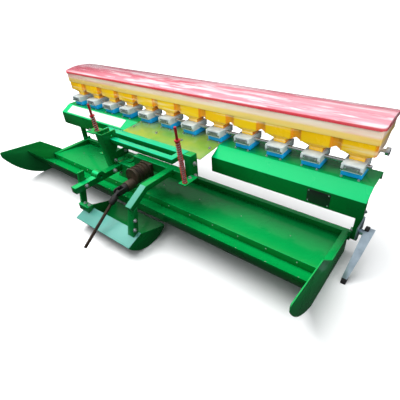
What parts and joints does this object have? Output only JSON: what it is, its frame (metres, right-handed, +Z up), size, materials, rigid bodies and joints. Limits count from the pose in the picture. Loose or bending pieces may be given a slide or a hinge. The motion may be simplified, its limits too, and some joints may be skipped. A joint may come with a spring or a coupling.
{
  "type": "rice direct seeder",
  "caption": "Mounted rice direct seeder: long yellow seed box with a red lid over a row of metering units, green beam, hitch frame, levelling pan and centre float.",
  "frame": {"origin": "on the ground, on the machine's middle plane, under the pan", "axes": "+X along the seed box to the parking stand's end, +Y to the rear, +Z up"},
  "size_m": [2.483, 1.1412, 0.7111],
  "materials": {
    "green_paint": "gloss paint over folded sheet and tube",
    "box_yellow": "moulded, lightly worn",
    "lid_red": "moulded, glossy",
    "band_cream": "smooth band",
    "meter_white": "moulded, fine texture",
    "base_blue": "moulded",
    "chute_black": "moulded",
    "bright_steel": "zinc plated",
    "spring_red": "painted wire",
    "gear_cast": "as cast, sealed",
    "yoke_black": "satin black",
    "drive_steel": "oiled, browned",
    "plug_rubber": "moulded plug"
  },
  "bodies": {
    "frame": {"beam_left": "green_paint", "beam_right": "green_paint", "centre_cover": "green_paint", "end_posts": "green_paint", "pivot_blocks": "green_paint", "pan_floor": "green_paint", "pan_rear_rim": "green_paint", "pan_end_rims": "green_paint", "pan_nose": "green_paint", "pan_bow": "green_paint", "side_plate_left": "green_paint", "side_plate_right": "green_paint", "rear_rail": "green_paint", "front_rail": "green_paint", "right_post": "green_paint", "left_mast": "green_paint", "guide_plate": "green_paint", "cross_bar": "green_paint", "foot_bracket": "green_paint", "stay_bar": "green_paint", "spring_seats": "green_paint", "left_arm": "green_paint", "left_link": "green_paint", "right_arm": "green_paint", "right_bracket": "green_paint", "float_shell": "green_paint", "float_ends": "green_paint", "float_deck": "green_paint", "hopper_front_wall": "box_yellow", "hopper_rear_wall": "box_yellow", "hopper_rear_slope": "box_yellow", "hopper_end_walls": "box_yellow", "hopper_ridges": "box_yellow", "funnel_fronts": "box_yellow", "funnel_rears": "box_yellow", "funnel_sides": "box_yellow", "hopper_band": "band_cream", "meter_housings": "meter_white", "meter_plates": "meter_white", "meter_bases": "base_blue", "chute_sides": "chute_black", "chute_ends": "chute_black", "end_knob": "bright_steel", "lid_hinges": "bright_steel", "stand_clamp": "bright_steel", "spring_left": "spring_red", "spring_right": "spring_red", "gearbox": "gear_cast", "fixed_yoke": "yoke_black"},
    "lid_body": {"lid": "lid_red", "lid_tongues": "bright_steel"},
    "shaft_body": {"meter_shaft": "bright_steel"},
    "stand_body": {"stand_leg": "bright_steel", "stand_plugs": "plug_rubber"},
    "drive_body": {"swing_yoke": "yoke_black", "drive_shaft": "drive_steel"}
  },
  "joints": [
    {"name": "lid_hinge", "type": "hinge", "parent": "frame", "child": "lid_body", "pos_m": [0, 0.47, 0.666], "axis": [-1, 0, 0], "range_deg": [0, 100]},
    {"name": "meter_shaft_spin", "type": "hinge", "parent": "frame", "child": "shaft_body", "pos_m": [0, 0.236, 0.4875], "axis": [1, 0, 0], "continuous": true},
    {"name": "stand_swing", "type": "hinge", "parent": "frame", "child": "stand_body", "pos_m": [1.205, 0.138, 0.188], "axis": [-1, 0, 0], "range_deg": [0, 100]},
    {"name": "drive_shaft_swing", "type": "hinge", "parent": "frame", "child": "drive_body", "pos_m": [0, -0.362, 0.262], "axis": [-1, 0, 0], "range_deg": [0, 60]}
  ]
}
